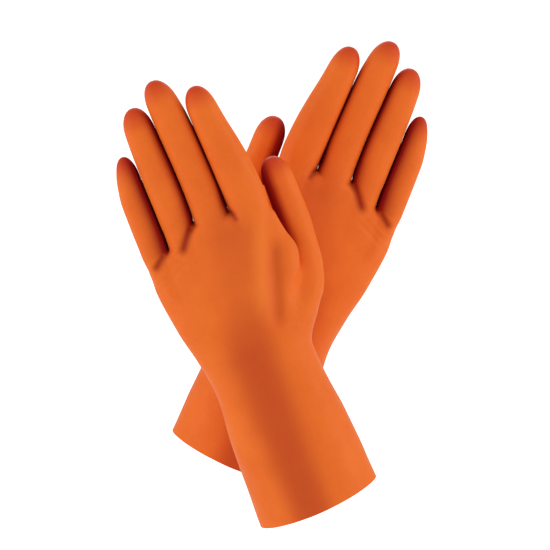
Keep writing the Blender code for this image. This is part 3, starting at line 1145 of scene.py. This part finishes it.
def build_cuff_and_hand(side, skin, parts, lined_cuff, rubber, flock):
    """A glove's cuff and hand: the rubber, and the loose lining a little inside it."""
    for part, lined in (("cuff", lined_cuff), ("hand", parts["hand"])):
        label = f"{side}_{part}"
        wall = make_piece(f"{label}_skin", side, skin, parts[part], 0.0, RUBBER, [rubber])
        lining = make_piece(f"{label}_flock", side, skin, lined, LINING_OUTSIDE, LINING_INSIDE, [flock])
        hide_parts(label)
        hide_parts(f"{label}_lining")
        for piece in (wall, lining):
            if part == "cuff":
                blend_wrist(piece)
            else:
                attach(piece, label)


def build_stalls(side, skin, parts, rubber, flock):
    """A glove's stalls: rubber, with the flock on their inner faces."""
    for name in DIGITS:
        for number, turning in enumerate(digit_joints(side, name)):
            node = turning["child"]
            chosen = parts[f"{name}_{number}"]
            stall = make_piece(f"{node}_skin", side, skin, chosen, 0.0, LINING_OUTSIDE, [rubber, flock])
            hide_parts(node)
            blend_digit(stall, side, name, number)


def build_gloves():
    """Both gloves' pieces; the hands' pieces are put on their bodies."""
    rubber = rubber_material()
    flock = flock_material()
    points, faces, labels, normals = build_skin()
    # Values for the rubber's colour: painted shade in the gaps and down the back, a painted highlight
    # on the ridge, and the fingertips' red, partly painted shade.
    tints = {
        "tip_red_and_shade": tip_red_and_shade_of(points),
        "gap_shade": gap_shade_of(points),
        "shade_band": shade_band_of(points),
        "ridge_highlight": ridge_highlight_of(points),
    }
    skin = (points, faces, normals, tints)
    parts = {label: np.nonzero(labels == label)[0] for label in np.unique(labels)}
    heights = np.array([points[faces[i][0], 2] for i in parts["cuff"]])
    lined_cuff = parts["cuff"][heights > CUFF_END + LINING_START]
    for side in SIDES:
        build_cuff_and_hand(side, skin, parts, lined_cuff, rubber, flock)
        build_stalls(side, skin, parts, rubber, flock)


# ------------------------------------------------------------------ the stage


def stage_material():
    """A pale matt floor that glows a little, as a lit white sweep does."""
    made, tree, surface = new_material("pale_sweep")
    where = tree.nodes.new("ShaderNodeTexCoord").outputs["Object"]
    tone = mixed(tree, noise(tree, where, 3.0), *FLOOR_TONES)
    tree.links.new(tone, surface.inputs["Base Color"])
    surface.inputs["Roughness"].default_value = 0.9
    surface.inputs["Emission Color"].default_value = (1, 1, 1, 1)
    seen = tree.nodes.new("ShaderNodeLightPath").outputs["Is Camera Ray"]
    tree.links.new(ranged(tree, seen, 0.0, 1.0, 0.0, FLOOR_GLOW), surface.inputs["Emission Strength"])
    return made


def build_stage(low):
    """A floor below the gloves."""
    bm = bmesh.new()
    bmesh.ops.create_circle(bm, cap_ends=True, segments=96, radius=FLOOR_RADIUS)
    mesh = bpy.data.meshes.new("floor")
    bm.to_mesh(mesh)
    bm.free()
    mesh.materials.append(stage_material())
    floor = bpy.data.objects.new("floor", mesh)
    floor.location = (0.0, 0.0, low - FLOOR_DROP)
    bpy.context.scene.collection.objects.link(floor)
    floor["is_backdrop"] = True


def add_light(name, place, size, power):
    """A soft rectangular light that faces the gloves."""
    data = bpy.data.lights.new(name, "AREA")
    data.shape = "RECTANGLE"
    data.size, data.size_y = size
    data.energy = power
    lamp = bpy.data.objects.new(name, data)
    lamp.location = place
    lamp.rotation_euler = (LIT_POINT - Vector(place)).to_track_quat("-Z", "Y").to_euler()
    bpy.context.scene.collection.objects.link(lamp)


def build_lights():
    """Tall soft lights at both sides, weaker ones in front and behind, and a white surround."""
    for name, (place, size, power) in LIGHTS.items():
        add_light(name, place, size, power)
    world = bpy.data.worlds.new("white_surround")
    bpy.context.scene.world = world
    world.use_nodes = True
    tree = world.node_tree
    background = tree.nodes["Background"]
    background.inputs["Color"].default_value = (1, 1, 1, 1)
    seen = tree.nodes.new("ShaderNodeLightPath").outputs["Is Camera Ray"]
    strength = ranged(tree, seen, 0.0, 1.0, SURROUND_LIGHT, SURROUND_SEEN)
    tree.links.new(strength, background.inputs["Strength"])
    bpy.context.scene.view_settings.view_transform = "Standard"


def build_camera():
    """A long lens, straight in front and a little above."""
    data = bpy.data.cameras.new("camera")
    data.lens = CAMERA_LENS
    data.sensor_width = SENSOR
    data.clip_end = 50.0
    camera = bpy.data.objects.new("camera", data)
    distance = FRAME_WIDTH * CAMERA_LENS / SENSOR
    way = Vector((0.0, -math.cos(CAMERA_RISE), math.sin(CAMERA_RISE)))
    camera.location = CAMERA_TARGET + way * distance
    camera.rotation_euler = (-way).to_track_quat("-Z", "Y").to_euler()
    bpy.context.scene.collection.objects.link(camera)
    bpy.context.scene.camera = camera


def corners(box):
    """A box's two corners as plain lists."""
    return [list(map(float, corner)) for corner in box]


build_gloves()
build_stage(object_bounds()[0][2])
build_lights()
build_camera()
